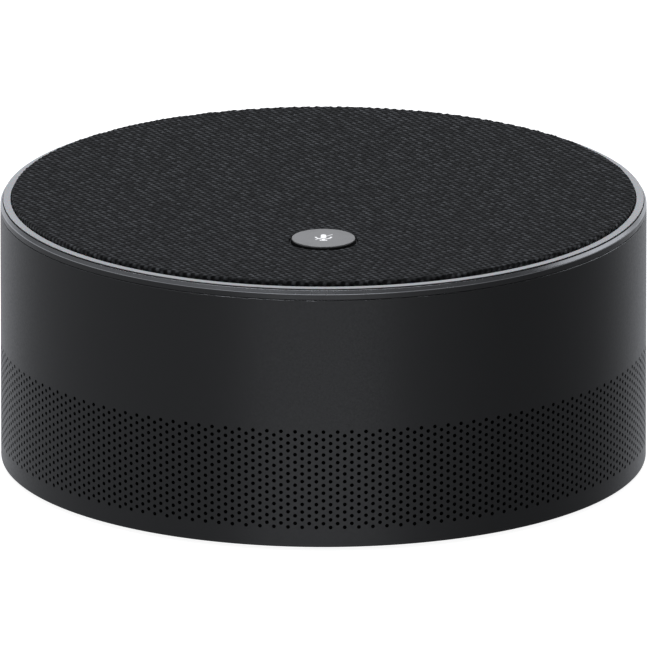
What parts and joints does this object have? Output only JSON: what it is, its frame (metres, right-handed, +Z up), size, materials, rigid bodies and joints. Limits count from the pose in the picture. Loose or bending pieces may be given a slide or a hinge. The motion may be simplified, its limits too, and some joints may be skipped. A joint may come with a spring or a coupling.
{
  "type": "conference speakerphone",
  "caption": "Low round conference speakerphone: perforated drum housing, cloth top inside a light ring, raised mute button near the front edge.",
  "frame": {"origin": "middle of the rubber foot ring's underside, on the surface it stands on", "axes": "+Z up, -Y towards the user (mute button side), +X to the right seen from the front"},
  "size_m": [0.137, 0.137, 0.0589],
  "materials": {
    "housing_satin_black": "satin, fine moulded texture",
    "bezel_satin_black": "satin anodised look, chamfered edge",
    "ring_translucent_grey": "frosted light guide, unlit",
    "charcoal_cloth": "plain weave, melange charcoal",
    "liner_cloth": "open acoustic mesh, black",
    "button_grey": "fine satin with a polished rim",
    "base_black": "fine spark texture",
    "inner_black_plastic": "plain moulded",
    "rubber_black": "matt",
    "screw_steel": "dark zinc plated",
    "basket_steel": "black e-coat",
    "motor_steel": "zinc plated",
    "magnet_nickel": "nickel plated",
    "coil_copper": "enamelled copper wire",
    "former_film": "amber film",
    "cone_pulp": "pressed paper pulp",
    "foam_grey": "closed-cell foam",
    "board_green": "solder-masked circuit board",
    "chip_black": "moulded epoxy",
    "can_tin": "tinned sheet",
    "connector_white": "moulded nylon",
    "led_white": "clear epoxy",
    "spider_cloth": "resin-dipped cotton",
    "panel_aluminium": "sheet, black primer on top",
    "lead_insulation": "silicone insulation"
  },
  "bodies": {
    "root": {"foot_ring": "rubber_black", "base_plate": "base_black", "base_screws": "screw_steel", "sound_reflector": "inner_black_plastic", "reflector_screw": "screw_steel", "outer_housing": "housing_satin_black", "wall_cloth_liner": "liner_cloth", "speaker_enclosure": "inner_black_plastic", "enclosure_seal": "foam_grey", "enclosure_lid": "inner_black_plastic", "lid_screws": "screw_steel", "driver_gasket": "foam_grey", "driver_basket": "basket_steel", "driver_screws": "screw_steel", "driver_yoke": "motor_steel", "driver_magnet": "magnet_nickel", "driver_top_plate": "motor_steel", "driver_surround": "rubber_black", "driver_spider": "spider_cloth", "driver_terminals": "connector_white", "speaker_lead": "lead_insulation", "lead_grommet": "rubber_black", "main_board": "board_green", "main_board_screws": "screw_steel", "processor": "chip_black", "thermal_pad": "foam_grey", "shield_can": "can_tin", "audio_amplifier": "chip_black", "power_capacitors": "can_tin", "usb_c_socket": "motor_steel", "usb_c_tongue": "chip_black", "board_connectors": "connector_white", "ribbon_cable": "former_film", "mic_board": "board_green", "microphones": "can_tin", "mic_gaskets": "foam_grey", "status_leds": "led_white", "tact_switch": "chip_black", "button_pad": "rubber_black", "button_collar": "bezel_satin_black", "top_bezel": "bezel_satin_black", "top_screws": "screw_steel", "light_ring": "ring_translucent_grey", "panel_adhesive": "foam_grey", "top_panel": "panel_aluminium", "top_fabric": "charcoal_cloth"},
    "mute_button": {"mute_button": "button_grey", "switch_plunger": "connector_white"},
    "loudspeaker_cone": {"driver_cone": "cone_pulp", "driver_dust_cap": "cone_pulp", "voice_coil_former": "former_film", "voice_coil_winding": "coil_copper"}
  },
  "joints": [
    {"name": "mute_button_press", "type": "slide", "parent": "root", "child": "mute_button", "axis": [0, 0, -1], "range_m": [0, 0.00035], "stiffness_N_per_m": 4000, "deforming": ["button_pad"]},
    {"name": "cone_travel", "type": "slide", "parent": "root", "child": "loudspeaker_cone", "axis": [0, 0, 1], "range_m": [-0.001, 0.001], "stiffness_N_per_m": 2000, "deforming": ["driver_surround", "driver_spider"]}
  ]
}
